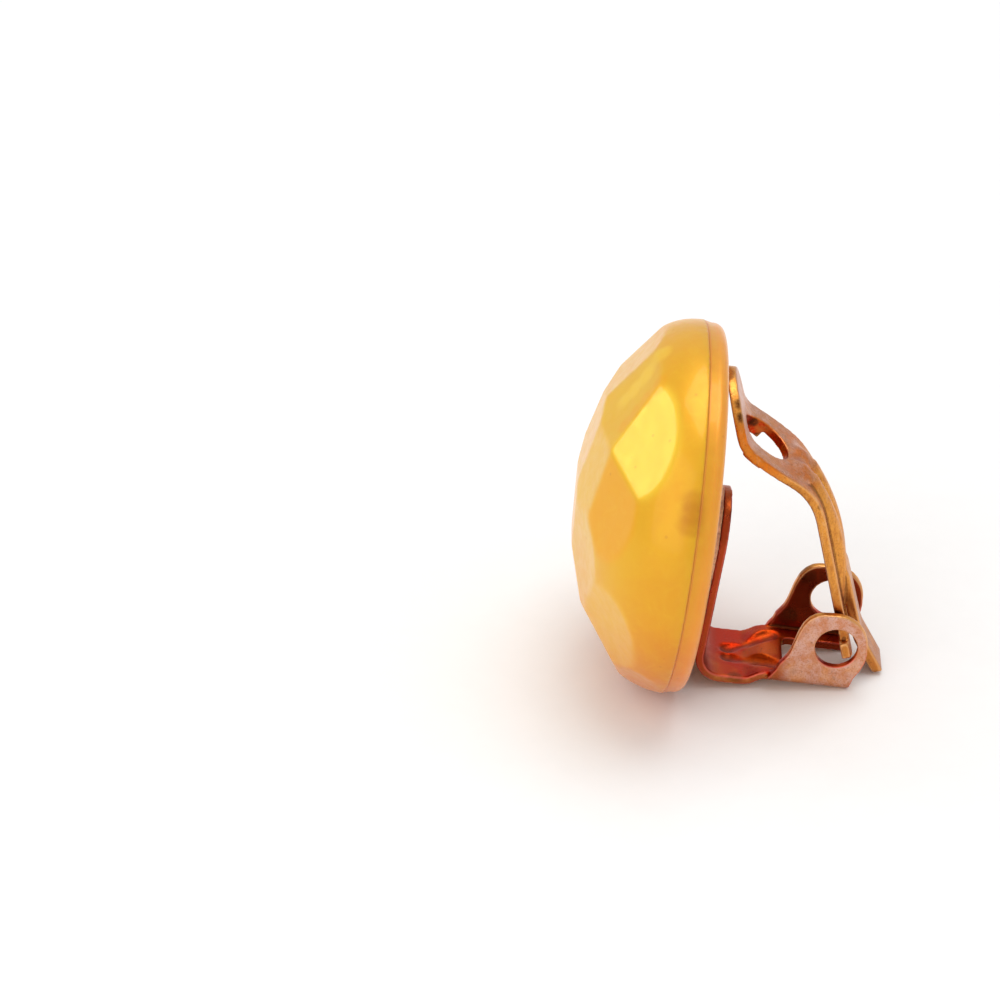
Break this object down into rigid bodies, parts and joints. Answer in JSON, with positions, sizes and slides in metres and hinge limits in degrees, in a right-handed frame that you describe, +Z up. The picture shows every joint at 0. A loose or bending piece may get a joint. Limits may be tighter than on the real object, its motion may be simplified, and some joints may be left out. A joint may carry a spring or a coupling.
{
  "type": "clip-on earring",
  "caption": "Clip-on earring: a round, hammered plastic button closed by a thin disc, on a stamped metal clip with a hinged lever that grips the ear lobe.",
  "frame": {"origin": "bottom centre of the whole earring's box, on the surface that it rests on", "axes": "+X along the clip's hinge, +Y from the domed front back towards the clip, +Z up"},
  "size_m": [0.02, 0.0168, 0.0199],
  "materials": {
    "dome_plastic": "pearlescent golden yellow, hammered and polished",
    "plate_plastic": "pearlescent orange-yellow, polished",
    "cement": "dried, uneven, slightly glossy",
    "bracket_metal": "gilt, worn, finely pitted",
    "lever_metal": "gilt, worn, finely pitted"
  },
  "bodies": {
    "button": {"dome": "dome_plastic", "back_plate": "plate_plastic", "glue": "cement", "clip_bracket": "bracket_metal"},
    "lever": {"clip_lever": "lever_metal"}
  },
  "joints": [
    {"name": "lever_hinge", "type": "hinge", "parent": "button", "child": "lever", "pos_m": [0, 0.00577, 0.00267], "axis": [-1, 0, 0], "range_deg": [0, 90]}
  ]
}
